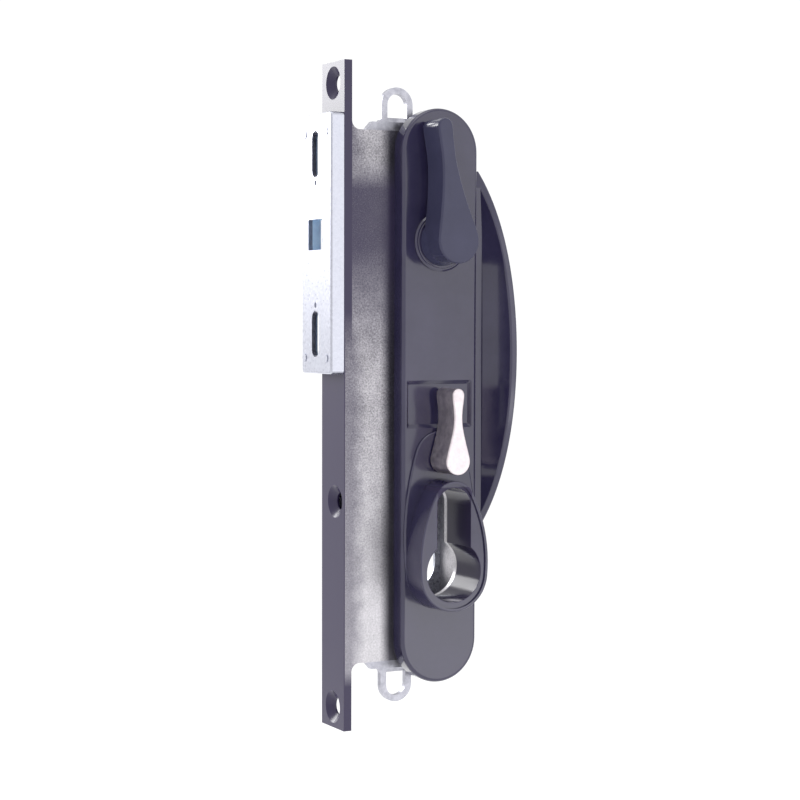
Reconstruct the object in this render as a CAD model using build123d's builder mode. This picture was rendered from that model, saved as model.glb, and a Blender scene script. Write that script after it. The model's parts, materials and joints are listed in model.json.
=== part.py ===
"""Mortice lock for a sliding security door, with its inside handle plate and its strike.

Frame: +X into the door stile, +Z up, the inside of the room on the -Y side. The origin is the centre of
the faceplate's front, halfway between the two end screws. All sizes are in millimetres.
"""

from build123d import *
import math
import os

os.makedirs("parts", exist_ok=True)

# ---- driving dimensions -------------------------------------------------------------------------
FACE_L, FACE_W, FACE_T = 203.2, 15.5, 2.6      # faceplate
FACE_HOLE_Z = 95.25                            # end screws, above and below the origin
MID_HOLE_Y, MID_HOLE_Z = -1.5, -31.75          # the screw between them
SCREW_R, COUNTERSINK_R = 2.6, 5.0

CASE_X, CASE_H, CASE_W, WALL = 43.0, 162.0, FACE_W, 2.0
COVER_T = 1.2
BACKSET = 30.0                                 # lever, snib and cylinder all sit on this line
LEVER_Z, SNIB_Z, CYLINDER_Z = 47.5, -19.1, -52.8

CYLINDER_R, WEB_R, WEB_TOP_Z = 9.3, 5.8, -27.1  # profile opening: round end down, web up

PLATE_L, PLATE_W, PLATE_T = 176.0, 26.0, 5.5   # handle plate
PLATE_WALL = 2.2
PLATE_SCREW_Z = (64.0, -72.0)

LEVER_REST = 8.0                               # the lever leans this far towards the door's edge at rest
LEVER_THROW = (-8.0, 82.0)
LEVER_LENGTH, LEVER_R, LEVER_TIP_R = 34.2, 6.9, 2.5
LEVER_LIFT, LEVER_PROUD = 1.8, 11.9            # back and front of the blade, above the plate's face

SNIB_LENGTH, SNIB_R, SNIB_TIP_R = 20.1, 4.05, 2.0
SNIB_LIFT, SNIB_PROUD = 1.3, 11.8

COLLAR_PROUD, RIM_W, RIM_DEEP = 9.8, 0.9, 0.6
PAD_PROUD = 0.8
WING_PROUD, WING_R, WING_Z = 9.0, 141.6, 14.0
WING_FLARE, WING_ROOT_T, WING_RIM_T, WING_ROUND = 5.7, 1.7, 2.5, 0.6

CRANK_R, CRANK_PIN_R = 7.8, 1.1                # pins on the hub that drive the two links
LINK_TRAVEL = 2 * CRANK_R * math.sin(math.radians(45))
LINK_RATE = LINK_TRAVEL / 90                   # mm per degree of the lever
LINK_X, LOOP_W, LOOP_BAR = 19.7, 10.7, 2.0
HOOK_PIVOT = (9.0, 28.0)
HOOK_SWING = 28.0                              # degrees for the lever's 90
HOOK_R, HOOK_BAND = 24.3, 4.4
HOOK_Y = 3.3                                   # centre of the hook's thickness

STRIKE_Y, STRIKE_Z, STRIKE_D, STRIKE_SHEET = (-7.7, 13.0), (7.2, 86.0), 4.4, 1.4
STRIKE_SLOT_Z = (73.9, 19.3)
STRIKE_SLOT_L, STRIKE_SLOT_W = 14.1, 5.0
WINDOW_Z, WINDOW_H, WINDOW_W = 49.5, 9.3, 10.0

BLACK = (0.05, 0.05, 0.06)
ZINC = (0.5, 0.5, 0.5)
BRIGHT = (0.75, 0.77, 0.8)
SATIN = (0.7, 0.67, 0.63)
STEEL = (0.4, 0.4, 0.42)

# ---- derived places -----------------------------------------------------------------------------
CASE_NEAR, CASE_FAR = -CASE_W / 2, CASE_W / 2  # the case's two sides, in Y
INNER_NEAR, INNER_FAR = CASE_NEAR + WALL, CASE_FAR - COVER_T
PLATE_FACE = CASE_NEAR - PLATE_T
LINK_NEAR, LINK_FAR = -4.2, -2.2               # layer of the two links and the deadlock slide
DISC_NEAR, DISC_FAR = -1.8, 0.2                # layer of the crank discs
HOOK_NEAR, HOOK_FAR = HOOK_Y - 2.5, HOOK_Y + 2.5
FRONT = Plane(origin=(0, 0, 0), x_dir=(0, -1, 0), z_dir=(-1, 0, 0))   # local x is -Y, local y is Z
MIDDLE_ANGLE = LEVER_THROW[1] - 45             # lever angle at which the crank pins lie level


def at_y(y):
    """The plane across the lock at depth y: local x is X, local y is Z, and extrusions go towards -Y."""
    return Plane.XZ.offset(-y)


def turned(radius, degrees, centre):
    """A point at a radius and an angle from +X, in the X-Z plane."""
    angle = math.radians(degrees)
    return (centre[0] + radius * math.cos(angle), centre[1] + radius * math.sin(angle))


def save(part, name, colour):
    part.label = name
    part.color = Color(*colour)
    export_step(part, f"parts/{name}.step")


def profile_opening():
    """The cylinder's opening: a round hole with the web's slot above it. Drawn in a sketch at X-Z."""
    slot_middle = (WEB_TOP_Z - WEB_R + CYLINDER_Z) / 2
    with Locations((BACKSET, CYLINDER_Z)):
        Circle(CYLINDER_R)
    with Locations((BACKSET, slot_middle)):
        SlotCenterToCenter(WEB_TOP_Z - WEB_R - CYLINDER_Z, 2 * WEB_R, rotation=90)


def teardrop(length, big_r, tip_r, widths):
    """A teardrop on the sketch's origin, tip up: round foot, hollow flanks through widths, round tip."""
    lean = 12.0
    start = turned(big_r, lean, (0, 0))
    leaving = (-math.sin(math.radians(lean)), math.cos(math.radians(lean)))
    with BuildLine() as half:
        Spline(start, *widths, (tip_r, length), tangents=(leaving, (0, 1)))
        CenterArc((0, length), tip_r, 0, 90)
        Line((0, length + tip_r), (0, -big_r))
        CenterArc((0, 0), big_r, -90, 90 + lean)
    make_face(half.edges())
    mirror(about=Plane.YZ)


# ---- lock case: cast tray with the faceplate ----------------------------------------------------
CASE_FILLET = 2.6
COVER_SCREWS = [(5.6, 70.0), (5.6, -70.0), (38.3, 8.0), (38.3, -74.0)]
EJECTOR_MARKS = [(5.6, 75.3), (5.0, 26.9)]
HOOK_DOOR_Z, HOOK_DOOR_H, HOOK_DOOR_W = 50.4, 7.6, 5.8
LINK_SLOT = (LINK_NEAR - 0.3, LINK_FAR + 0.3)
HUB_JOURNAL_R, SNIB_JOURNAL_R, FIT = 5.4, 3.2, 0.05
PLATE_SCREW_HOLE_R, COVER_BOSS_R, PLATE_BOSS_R, COVER_TAP_R = 2.7, 2.5, 4.0, 1.25
PIN_SEAT_R, PIN_SEAT_DEEP = 2.0, 1.2
CASE_CORNER_R, CAVITY_CORNER_R = 3.0, 1.6
LEDGE, LEDGE_GAP, LEDGE_CORNER_R = 0.9, 0.2, 2.2   # rim that the cover drops into
COVER_GAP = 0.1
COVER_TAP_DEEP = 8.0
LINK_SLOT_LEFT, LINK_SLOT_RIGHT = 8.9, (40.9, 30.5)  # the right ends: top, bottom
EJECTOR_R, EJECTOR_PROUD = 1.4, 0.12
SINK_ANGLE = 100

with BuildPart() as lock_case:
    with BuildSketch(at_y(CASE_FAR)):
        with Locations((CASE_X / 2, 0)):
            Rectangle(CASE_X, CASE_H)
    extrude(amount=CASE_W)
    fillet(lock_case.edges().filter_by(Axis.Y).group_by(Axis.X)[-1], CASE_CORNER_R)
    with BuildSketch(at_y(CASE_FAR)):
        with Locations((FACE_T / 2, 0)):
            Rectangle(FACE_T, FACE_L)
    extrude(amount=CASE_W)
    inner_corners = lock_case.edges().filter_by(Axis.Y).filter_by(
        lambda e: abs(e.center().X - FACE_T) < 0.01 and abs(abs(e.center().Z) - CASE_H / 2) < 0.01
    )
    fillet(inner_corners, CASE_FILLET)
    # cavity, open on the cover's side, with a ledge that the cover drops into
    with BuildSketch(at_y(CASE_FAR)):
        with Locations(((FACE_T + CASE_X - WALL) / 2, 0)):
            RectangleRounded(CASE_X - WALL - FACE_T, CASE_H - 2 * WALL, CAVITY_CORNER_R)
    extrude(amount=CASE_FAR - INNER_NEAR, mode=Mode.SUBTRACT)
    with BuildSketch(at_y(CASE_FAR)):
        with Locations(((FACE_T + LEDGE_GAP + CASE_X - LEDGE) / 2, 0)):
            RectangleRounded(CASE_X - LEDGE - FACE_T - LEDGE_GAP, CASE_H - 2 * LEDGE, LEDGE_CORNER_R)
    extrude(amount=COVER_T, mode=Mode.SUBTRACT)
    # bosses for the cover's screws and for the handle plate's screws
    with BuildSketch(at_y(INNER_FAR)):
        with Locations(*COVER_SCREWS):
            Circle(COVER_BOSS_R)
        with Locations(*[(BACKSET, z) for z in PLATE_SCREW_Z]):
            Circle(PLATE_BOSS_R)
    extrude(amount=INNER_FAR - INNER_NEAR + 0.5)
    with BuildSketch(at_y(INNER_FAR)):
        with Locations(*COVER_SCREWS):
            Circle(COVER_TAP_R)
    extrude(amount=COVER_TAP_DEEP, mode=Mode.SUBTRACT)
    with BuildSketch(at_y(INNER_FAR)):
        with Locations(*[(BACKSET, z) for z in PLATE_SCREW_Z]):
            Circle(PLATE_SCREW_HOLE_R)
    extrude(amount=CASE_W, mode=Mode.SUBTRACT)
    # hook pivot seat, lever and snib journals, cylinder opening
    with BuildSketch(at_y(INNER_NEAR + 0.01)):
        with Locations(HOOK_PIVOT):
            Circle(PIN_SEAT_R)
    extrude(amount=PIN_SEAT_DEEP, mode=Mode.SUBTRACT)
    with BuildSketch(at_y(INNER_NEAR + 1)):
        with Locations((BACKSET, LEVER_Z)):
            Circle(HUB_JOURNAL_R + FIT)
        with Locations((BACKSET, SNIB_Z)):
            Circle(SNIB_JOURNAL_R + FIT)
        profile_opening()
    extrude(amount=WALL + 2, mode=Mode.SUBTRACT)
    # slots that the two links leave by
    for z, right in zip((CASE_H / 2, -CASE_H / 2), LINK_SLOT_RIGHT):
        with BuildSketch(at_y(LINK_SLOT[1])):
            with Locations(((LINK_SLOT_LEFT + right) / 2, z)):
                Rectangle(right - LINK_SLOT_LEFT, 2 * WALL + 2)
        extrude(amount=LINK_SLOT[1] - LINK_SLOT[0], mode=Mode.SUBTRACT)
    # the hook's door and the three countersunk screw holes, all through the faceplate
    with BuildSketch(FRONT.offset(1)):
        with Locations((-HOOK_Y, HOOK_DOOR_Z)):
            Rectangle(HOOK_DOOR_W, HOOK_DOOR_H)
    extrude(amount=-FACE_T - 2, mode=Mode.SUBTRACT)
    with Locations(FRONT):
        with Locations((0, FACE_HOLE_Z), (0, -FACE_HOLE_Z), (-MID_HOLE_Y, MID_HOLE_Z)):
            CounterSinkHole(SCREW_R, COUNTERSINK_R, depth=FACE_T + 1, counter_sink_angle=SINK_ANGLE)
    # ejector marks left by the casting die
    with BuildSketch(at_y(CASE_NEAR)):
        with Locations(*EJECTOR_MARKS):
            Circle(EJECTOR_R)
    extrude(amount=EJECTOR_PROUD)
save(lock_case.part, "lock_case", ZINC)

# ---- case cover ---------------------------------------------------------------------------------
COVER_HOLE_R, COVER_SINK_R = 1.6, 2.7
COVER_SCREW_R, COVER_THREAD_R, COVER_HEAD_R = 1.5, 1.2, 2.35
CROSS_W, CROSS_DEEP = 0.5, 0.6                 # the cross in each cover screw's head
with BuildPart() as case_cover:
    with BuildSketch(at_y(CASE_FAR)):
        edge = LEDGE + COVER_GAP
        front = FACE_T + LEDGE_GAP + COVER_GAP
        with Locations(((front + CASE_X - edge) / 2, 0)):
            RectangleRounded(CASE_X - edge - front, CASE_H - 2 * edge, LEDGE_CORNER_R - 0.2)
    extrude(amount=COVER_T)
    with BuildSketch(at_y(CASE_FAR + 1)):
        with Locations((BACKSET, LEVER_Z)):
            Circle(HUB_JOURNAL_R + FIT)
        with Locations((BACKSET, SNIB_Z)):
            Circle(SNIB_JOURNAL_R + FIT)
        with Locations(HOOK_PIVOT):
            Circle(PIN_SEAT_R)
        with Locations(*[(BACKSET, z) for z in PLATE_SCREW_Z]):
            Circle(PLATE_SCREW_HOLE_R)
        profile_opening()
    extrude(amount=COVER_T + 2, mode=Mode.SUBTRACT)
    with Locations(Plane(origin=(0, CASE_FAR, 0), x_dir=(1, 0, 0), z_dir=(0, 1, 0))):
        with Locations(*[(x, -z) for x, z in COVER_SCREWS]):
            CounterSinkHole(COVER_HOLE_R, COVER_SINK_R, depth=COVER_T + 1, counter_sink_angle=SINK_ANGLE)
save(case_cover.part, "case_cover", BRIGHT)

with BuildPart() as cover_screws:
    for x, z in COVER_SCREWS:
        with BuildSketch(Plane(origin=(x, 0, z), x_dir=(1, 0, 0), z_dir=(0, 0, 1))):
            with BuildLine():
                Polyline(
                    (0, CASE_FAR - 0.05),
                    (COVER_HEAD_R, CASE_FAR - 0.05),
                    (COVER_HEAD_R, CASE_FAR - 0.15),
                    (COVER_SCREW_R, CASE_FAR - 0.85),
                    (COVER_SCREW_R, INNER_FAR + 0.02),
                    (COVER_THREAD_R, INNER_FAR + 0.02),
                    (COVER_THREAD_R, 0.0),
                    (0, 0.0),
                    close=True,
                )
            make_face()
        revolve(axis=Axis((x, 0, z), (0, 1, 0)))
        with BuildSketch(at_y(CASE_FAR)):
            with Locations((x, z)):
                Rectangle(2.6, CROSS_W)
                Rectangle(CROSS_W, 2.6)
        extrude(amount=CROSS_DEEP, mode=Mode.SUBTRACT)
save(cover_screws.part, "cover_screws", BRIGHT)

# ---- handle plate: pill, pad, collar, recess and crescent pull ----------------------------------
FLAT_EDGE = 1.1                                # rounding of the plate's front edge
PAD_TOP_R, PAD_FOOT_R, PAD_FLANK_R, COLLAR_FLANK_R = 8.9, 11.85, 90.0, 45.0
COLLAR_TOP_Z, COLLAR_TOP_R, COLLAR_FOOT_Z, COLLAR_FOOT_R = -32.1, 7.3, -53.4, 11.8
RECESS_W, RECESS_H, RECESS_X, RECESS_Z, RECESS_DEEP = 22.6, 14.6, 29.8, -2.1, 1.0
LEVER_BORE_R, SNIB_BORE_R = 6.0, 3.6
PLATE_SCREW_POST_R, PLATE_TAP_R = 4.2, 2.1
LEVER_SLEEVE_R, SNIB_SLEEVE_R, CYLINDER_SURROUND = 8.2, 5.6, 1.6


def pill(length, width):
    with Locations((BACKSET, 0)):
        SlotOverall(length, width, rotation=90)


def drop_outline(top_z, top_r, foot_z, foot_r, flank_r):
    """The outline shared by the pad and the collar: two round ends joined by bulging, tangent flanks."""
    rise = top_z - foot_z
    up = (rise**2 + (flank_r - foot_r) ** 2 - (flank_r - top_r) ** 2) / (2 * rise)
    centre = Vector(-math.sqrt((flank_r - foot_r) ** 2 - up**2), up)
    foot, top = Vector(0, 0), Vector(0, rise)
    low = foot + (foot - centre).normalized() * foot_r
    high = top + (top - centre).normalized() * top_r
    middle = centre + ((low + high) / 2 - centre).normalized() * flank_r

    def place(point, side=1):
        return (BACKSET + side * point.X, foot_z + point.Y)

    with BuildLine() as outline:
        ThreePointArc(place(low), place(middle), place(high))
        ThreePointArc(place(high), place(Vector(0, rise + top_r)), place(high, -1))
        ThreePointArc(place(high, -1), place(middle, -1), place(low, -1))
        ThreePointArc(place(low, -1), place(Vector(0, -foot_r)), place(low))
    make_face(outline.edges())


with BuildPart() as plate_body:
    with BuildSketch(at_y(CASE_NEAR)):
        pill(PLATE_L, PLATE_W)
    extrude(amount=PLATE_T)
    fillet(plate_body.faces().sort_by(Axis.Y)[0].edges(), FLAT_EDGE)
    with BuildSketch(at_y(CASE_NEAR)):
        pill(PLATE_L - 2 * PLATE_WALL, PLATE_W - 2 * PLATE_WALL)
    extrude(amount=PLATE_T - PLATE_WALL, mode=Mode.SUBTRACT)
    # bosses on the back: screws, lever sleeve, snib sleeve, and the cylinder's surround
    with BuildSketch(at_y(CASE_NEAR)):
        with Locations(*[(BACKSET, z) for z in PLATE_SCREW_Z]):
            Circle(PLATE_SCREW_POST_R)
        with Locations((BACKSET, CYLINDER_Z)):
            Circle(CYLINDER_R + CYLINDER_SURROUND)
        with Locations((BACKSET, (WEB_TOP_Z + CYLINDER_Z) / 2)):
            Rectangle(2 * (WEB_R + CYLINDER_SURROUND), WEB_TOP_Z - CYLINDER_Z + 2 * CYLINDER_SURROUND)
    extrude(amount=PLATE_T - 1)
    with BuildSketch(at_y(PLATE_FACE + PLATE_WALL + 1.2)):
        with Locations((BACKSET, LEVER_Z)):
            Circle(LEVER_SLEEVE_R)
        with Locations((BACKSET, SNIB_Z)):
            Circle(SNIB_SLEEVE_R)
    extrude(amount=1.5)
    # the snib's recess, with a sloped edge
    with BuildSketch(at_y(PLATE_FACE - 0.01)):
        with Locations((RECESS_X, RECESS_Z)):
            RectangleRounded(RECESS_W, RECESS_H, 0.5)
    with BuildSketch(at_y(PLATE_FACE + RECESS_DEEP)):
        with Locations((RECESS_X, RECESS_Z)):
            RectangleRounded(RECESS_W - 2.0, RECESS_H - 2.4, 0.4)
    loft(mode=Mode.SUBTRACT)
    # the raised pad round the snib and the collar
    with BuildSketch(at_y(PLATE_FACE + 0.3)):
        drop_outline(SNIB_Z, PAD_TOP_R, COLLAR_FOOT_Z, PAD_FOOT_R, PAD_FLANK_R)
    extrude(amount=0.3 + PAD_PROUD)
    pad_top = plate_body.faces().sort_by(Axis.Y)[0]
    fillet(pad_top.edges(), 0.5)
    # the collar
    with BuildSketch(at_y(PLATE_FACE + 0.3)):
        drop_outline(COLLAR_TOP_Z, COLLAR_TOP_R, COLLAR_FOOT_Z, COLLAR_FOOT_R, COLLAR_FLANK_R)
    extrude(amount=COLLAR_PROUD + 0.3, taper=1.6)
    rim = plate_body.faces().sort_by(Axis.Y)[0]
    fillet(rim.edges(), 0.35)
    with BuildSketch(at_y(PLATE_FACE - COLLAR_PROUD)):
        step = RIM_W + 0.3
        top_r, foot_r, flank_r = (r - step for r in (COLLAR_TOP_R, COLLAR_FOOT_R, COLLAR_FLANK_R))
        drop_outline(COLLAR_TOP_Z, top_r, COLLAR_FOOT_Z, foot_r, flank_r)
    extrude(amount=-RIM_DEEP, mode=Mode.SUBTRACT)
    with BuildSketch(at_y(CASE_NEAR + 1)):
        profile_opening()
    extrude(amount=PLATE_T + COLLAR_PROUD + 2, mode=Mode.SUBTRACT)
    # bores for the lever and the snib, and the screws' blind holes
    with BuildSketch(at_y(CASE_NEAR + 1)):
        with Locations((BACKSET, LEVER_Z)):
            Circle(LEVER_BORE_R)
        with Locations((BACKSET, SNIB_Z)):
            Circle(SNIB_BORE_R)
    extrude(amount=PLATE_T + 3, mode=Mode.SUBTRACT)
    with BuildSketch(at_y(CASE_NEAR + 1)):
        with Locations(*[(BACKSET, z) for z in PLATE_SCREW_Z]):
            Circle(PLATE_TAP_R)
    extrude(amount=1 + PLATE_T - 1.3, mode=Mode.SUBTRACT)

# the pull: a scooped wall that flares out from the plate's edge and ends upright. It bows outwards a
# little, a circular arc trims its front, and the rim is rounded. A web joins it to the plate, one step
# behind the plate's face, and the same arc trims its ends.
PLATE_SIDE = BACKSET + PLATE_W / 2
WING_GAP = 1.25                                # groove between the plate's edge and the wall, at its middle
GROOVE_DEEP = 0.25
WEB_L = 110.0
BOW_R, BOW_Z = 1130.0, 8.0                     # the bow's radius and the height of its middle
WING_TOP_Z, WING_FOOT_Z = 69.4, -40.6
INNER_SET = 1.5                                # how far the hidden foot of the scoop is set in
BOW_X = PLATE_SIDE + WING_GAP - BOW_R
INNER_SCOOP, OUTER_SCOOP = 1.5, 1.1            # how far the walls' middles stand out from straight
WING_ROOT_Y = PLATE_FACE + 3.6
WING_RIM_Y = PLATE_FACE - WING_PROUD
WING_END_Y = WING_RIM_Y - 0.5                  # the profile runs past the rim, and the arc trims it
WING_INNER_Y = PLATE_FACE + 2.6                # where the scoop starts, hidden behind the web's face
RIM_INNER = BOW_R + WING_FLARE
RIM_OUTER = RIM_INNER + WING_RIM_T
ROOT_OUTER = BOW_R + WING_ROOT_T


def scooped(start, end, scoop):
    """An arc from start to end, whose middle stands scoop outwards from the straight line between them."""
    along = (Vector(*end) - Vector(*start)).normalized()
    middle = (Vector(*start) + Vector(*end)) / 2 + Vector(-along.Y, along.X) * scoop
    return ThreePointArc(start, (middle.X, middle.Y), end)


def trimming_segment():
    root_rise = WING_ROOT_Y - WING_RIM_Y
    half = math.sqrt(WING_R**2 - (WING_R - root_rise) ** 2)
    with BuildSketch(Plane.YZ.offset(BACKSET)) as segment:
        with BuildLine() as outline:
            crest = ThreePointArc(
                (WING_ROOT_Y, WING_Z + half), (WING_RIM_Y, WING_Z), (WING_ROOT_Y, WING_Z - half)
            )
            Line(crest @ 1, crest @ 0)
        make_face(outline.edges())
    return segment.sketch


with BuildPart(mode=Mode.PRIVATE) as wing:
    tilt = math.asin((BOW_Z - WING_FOOT_Z) / BOW_R)
    sweep = math.degrees(tilt + math.asin((WING_TOP_Z - BOW_Z) / BOW_R))
    start = Plane(
        origin=(BOW_X, 0, BOW_Z),
        x_dir=(math.cos(tilt), 0, -math.sin(tilt)),
        z_dir=(math.sin(tilt), 0, math.cos(tilt)),
    )
    with BuildSketch(start):
        with BuildLine():
            outer = scooped((ROOT_OUTER, WING_ROOT_Y), (RIM_OUTER, WING_END_Y), OUTER_SCOOP)
            inner = scooped((BOW_R - INNER_SET, WING_INNER_Y), (RIM_INNER, WING_END_Y), INNER_SCOOP)
            Line(outer @ 1, inner @ 1)
            Polyline(inner @ 0, (BOW_R - INNER_SET, WING_ROOT_Y), outer @ 0)
        make_face()
    revolve(axis=Axis((BOW_X, 0, BOW_Z), (0, -1, 0)), revolution_arc=sweep)
    extrude(trimming_segment(), amount=CASE_X, mode=Mode.INTERSECT)
    rim_edges = wing.edges().filter_by(
        lambda e: e.geom_type != GeomType.LINE and e.length > 95 and e.center().Y < PLATE_FACE - 3
    )
    fillet(rim_edges, WING_ROUND)

with BuildPart(mode=Mode.PRIVATE) as web:
    with BuildSketch(at_y(WING_ROOT_Y)):
        with Locations((PLATE_SIDE - 0.3, WING_Z)):
            Rectangle(WING_GAP + WING_ROOT_T + 1.0, WEB_L)
    extrude(amount=WING_ROOT_Y - PLATE_FACE - GROOVE_DEEP)
    extrude(trimming_segment(), amount=CASE_X, mode=Mode.INTERSECT)

with BuildPart() as handle_plate:
    add(plate_body.part)
    add(wing.part)
    add(web.part)
save(handle_plate.part, "handle_plate", BLACK)

PLATE_SCREW_R, PLATE_HEAD_R, PLATE_HEAD_T = 2.05, 4.4, 2.2
DRIVE_W, DRIVE_L = 0.9, 4.4                    # the cross in each plate screw's head
with BuildPart() as plate_screws:
    for z in PLATE_SCREW_Z:
        with BuildSketch(at_y(CASE_FAR)):
            with Locations((BACKSET, z)):
                Circle(PLATE_SCREW_R)
        extrude(amount=CASE_W + PLATE_T - 2.0)
        with BuildSketch(at_y(CASE_FAR + PLATE_HEAD_T)):
            with Locations((BACKSET, z)):
                Circle(PLATE_HEAD_R)
        extrude(amount=PLATE_HEAD_T)
        head = plate_screws.faces().sort_by(Axis.Y)[-1]
        fillet(head.edges(), 0.8)
        with BuildSketch(at_y(CASE_FAR + 3)):
            with Locations((BACKSET, z)):
                Rectangle(DRIVE_L, DRIVE_W)
                Rectangle(DRIVE_W, DRIVE_L)
        extrude(amount=2.2, mode=Mode.SUBTRACT)
save(plate_screws.part, "plate_screws", BRIGHT)

# ---- rose under the lever -----------------------------------------------------------------------
ROSE_R, ROSE_T = 9.1, 1.2
ROSE_BORE_R, ROSE_STEP, ROSE_LIP = LEVER_BORE_R + 0.1, 0.5, 0.9
with BuildPart() as lever_rose:
    with BuildSketch(Plane(origin=(BACKSET, 0, LEVER_Z), x_dir=(1, 0, 0), z_dir=(0, 0, 1))):
        with BuildLine():
            Polyline(
                (ROSE_BORE_R, PLATE_FACE - 0.01),
                (ROSE_R, PLATE_FACE - 0.01),
                (ROSE_R, PLATE_FACE - ROSE_STEP),
                (ROSE_R - ROSE_STEP, PLATE_FACE - ROSE_LIP),
                (ROSE_R - ROSE_LIP, PLATE_FACE - ROSE_LIP),
                (ROSE_R - ROSE_LIP - 0.2, PLATE_FACE - ROSE_T),
                (ROSE_BORE_R, PLATE_FACE - ROSE_T),
                close=True,
            )
        make_face()
    revolve(axis=Axis((BACKSET, 0, LEVER_Z), (0, 1, 0)))
save(lever_rose.part, "lever_rose", BLACK)

# ---- turn lever and its spindle -----------------------------------------------------------------
LEVER_WIDTHS = ((4.4, 11.0), (3.0, 18.3), (2.3, 26.0))
LEVER_FRAME = Plane(
    origin=(BACKSET, PLATE_FACE, LEVER_Z),
    x_dir=(math.cos(math.radians(LEVER_REST)), 0, math.sin(math.radians(LEVER_REST))),
    z_dir=(0, -1, 0),
)
SPINDLE_W, SPINDLE_FIT, SPINDLE_REACH = 7.0, 0.1, 6.8
NECK_BACK_R, NECK_FRONT_R, NECK_T = 7.5, 6.9, 3.2  # the neck between the rose and the blade
CLIP_T, CLIP_GROOVE = 0.7, 0.8
with BuildPart() as turn_lever:
    with BuildSketch(LEVER_FRAME.offset(LEVER_LIFT)):
        teardrop(LEVER_LENGTH, LEVER_R, LEVER_TIP_R, LEVER_WIDTHS)
    extrude(amount=LEVER_PROUD - LEVER_LIFT)
    front = turn_lever.faces().sort_by(Axis.Y)[0]
    back = turn_lever.faces().sort_by(Axis.Y)[-1]
    fillet(front.edges(), 0.6)
    fillet(back.edges(), 0.4)
    with BuildSketch(LEVER_FRAME.offset(ROSE_T + 0.15)):
        Circle(NECK_BACK_R)
    with BuildSketch(LEVER_FRAME.offset(ROSE_T + NECK_T)):
        Circle(NECK_FRONT_R)
    loft()
    with BuildSketch(LEVER_FRAME.offset(-PLATE_T + 0.5)):
        Circle(LEVER_BORE_R - FIT)
    extrude(amount=PLATE_T + LEVER_LIFT)
    with BuildSketch(LEVER_FRAME.offset(-PLATE_T)):
        Rectangle(SPINDLE_W, SPINDLE_W)
    extrude(amount=PLATE_T + 7, mode=Mode.SUBTRACT)
    # groove for the retaining clip, behind the plate's front wall
    with BuildSketch(LEVER_FRAME.offset(-PLATE_T + 0.9)):
        Circle(7)
        Circle(LEVER_BORE_R - CLIP_GROOVE, mode=Mode.SUBTRACT)
    extrude(amount=CLIP_GROOVE, mode=Mode.SUBTRACT)
save(turn_lever.part, "turn_lever", BLACK)

with BuildPart() as lever_clip:
    with BuildSketch(LEVER_FRAME.offset(-PLATE_T + 0.95)):
        Circle(7.2)
        Circle(LEVER_BORE_R - 0.75, mode=Mode.SUBTRACT)
        with Locations((0, 7)):
            Rectangle(3, 5, mode=Mode.SUBTRACT)
    extrude(amount=CLIP_T)
save(lever_clip.part, "lever_clip", STEEL)

with BuildPart() as lever_spindle:
    with BuildSketch(LEVER_FRAME.offset(SPINDLE_REACH)):
        Rectangle(SPINDLE_W - SPINDLE_FIT, SPINDLE_W - SPINDLE_FIT)
    extrude(amount=-(SPINDLE_REACH + CASE_FAR - PLATE_FACE))
    chamfer(lever_spindle.faces().sort_by(Axis.Y)[-1].edges(), 0.4)
save(lever_spindle.part, "lever_spindle", STEEL)

# ---- hub: journals, crank disc and the two pins that drive the links ----------------------------
DRUM_R, DISC_R, NOTCH_R = 6.4, 9.0, 1.4
with BuildPart() as lever_hub:
    with BuildSketch(at_y(CASE_FAR - 0.1)):
        with Locations((BACKSET, LEVER_Z)):
            Circle(HUB_JOURNAL_R)
    extrude(amount=CASE_W - 0.2)
    with BuildSketch(at_y(INNER_FAR - 0.3)):
        with Locations((BACKSET, LEVER_Z)):
            Circle(DRUM_R)
    extrude(amount=INNER_FAR - 0.3 - DISC_FAR)
    with BuildSketch(at_y(DISC_FAR)):
        with Locations((BACKSET, LEVER_Z)):
            Circle(DISC_R)
    extrude(amount=DISC_FAR - DISC_NEAR)
    with BuildSketch(at_y(DISC_NEAR)):
        for level in (0, 180):
            with Locations(turned(CRANK_R, level - MIDDLE_ANGLE, (BACKSET, LEVER_Z))):
                Circle(CRANK_PIN_R)
    extrude(amount=DISC_NEAR - LINK_NEAR + 0.3)
    with BuildSketch(LEVER_FRAME.offset(PLATE_FACE - CASE_FAR - 1)):
        Rectangle(SPINDLE_W, SPINDLE_W)
    extrude(amount=CASE_W + 2, mode=Mode.SUBTRACT)
    # two notches in the drum, for the detent spring
    with BuildSketch(at_y(INNER_FAR)):
        for level in (90, 0):
            with Locations(turned(DRUM_R + 0.7, level, (BACKSET, LEVER_Z))):
                Circle(NOTCH_R)
    extrude(amount=INNER_FAR - DISC_FAR - 0.3, mode=Mode.SUBTRACT)
save(lever_hub.part, "lever_hub", ZINC)

# ---- top link: loop, shoulder, right leg and the arm round the hook's peg -----------------------
LINK_T = LINK_FAR - LINK_NEAR
FORK_H = CRANK_PIN_R + 0.3                     # half-height of the slots round the crank pins
FORK_DROP = LINK_RATE * MIDDLE_ANGLE           # how far a crank pin is from level at rest
PEG_R, PEG_REACH = 1.5, LINK_TRAVEL / (2 * math.sin(math.radians(HOOK_SWING / 2)))
HOOK_START = -HOOK_SWING / 2 - LEVER_THROW[0] * HOOK_SWING / 90
PEG = turned(PEG_REACH, HOOK_START, HOOK_PIVOT)
SHOULDER_TOP, LOOP_EYE_Z, LOOP_TOP_Z = 83.9, 85.3, 94.6
OPENING_R = LOOP_W / 2 - LOOP_BAR
LEG_X = (35.8, 40.6)                           # the top link's right leg
FORK_END = 24.2                                # where the bottom link's fork stops, short of the hub


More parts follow.
